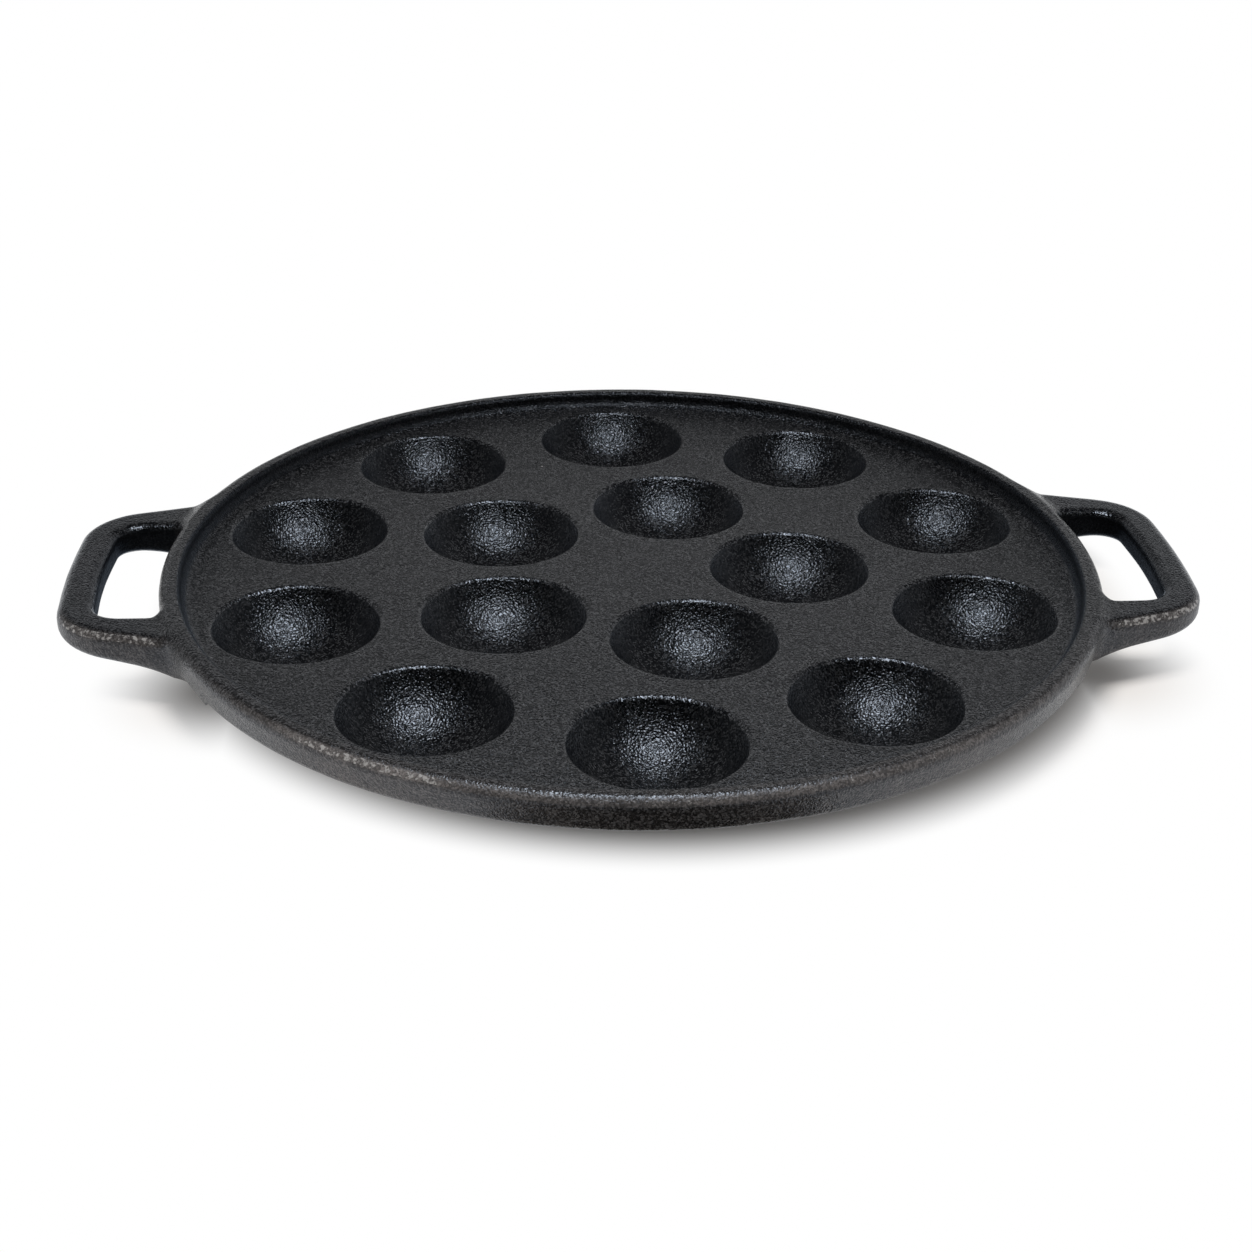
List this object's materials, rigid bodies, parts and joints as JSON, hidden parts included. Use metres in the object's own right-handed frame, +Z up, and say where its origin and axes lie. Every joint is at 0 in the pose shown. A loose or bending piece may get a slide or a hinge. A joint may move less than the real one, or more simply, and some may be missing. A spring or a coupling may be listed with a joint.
{
  "type": "plett pan",
  "caption": "Round cast-iron griddle pan with rings of shallow round-bottomed cups for small pancakes, a low raised rim and a loop handle on either side.",
  "frame": {"origin": "centre of the pan, on the plane of the pads that it stands on", "axes": "+X through the two handles, +Y across them, +Z up out of the cups"},
  "size_m": [0.3022, 0.2508, 0.0203],
  "materials": {
    "seasoned_iron": "black seasoned iron with a fine sand-cast grain"
  },
  "bodies": {
    "root": {"griddle_plate": "seasoned_iron", "rim": "seasoned_iron", "inner_cup_01": "seasoned_iron", "inner_cup_02": "seasoned_iron", "inner_cup_03": "seasoned_iron", "inner_cup_04": "seasoned_iron", "inner_cup_05": "seasoned_iron", "outer_cup_01": "seasoned_iron", "outer_cup_02": "seasoned_iron", "outer_cup_03": "seasoned_iron", "outer_cup_04": "seasoned_iron", "outer_cup_05": "seasoned_iron", "outer_cup_06": "seasoned_iron", "outer_cup_07": "seasoned_iron", "outer_cup_08": "seasoned_iron", "outer_cup_09": "seasoned_iron", "outer_cup_10": "seasoned_iron", "left_handle": "seasoned_iron", "right_handle": "seasoned_iron"}
  },
  "joints": []
}
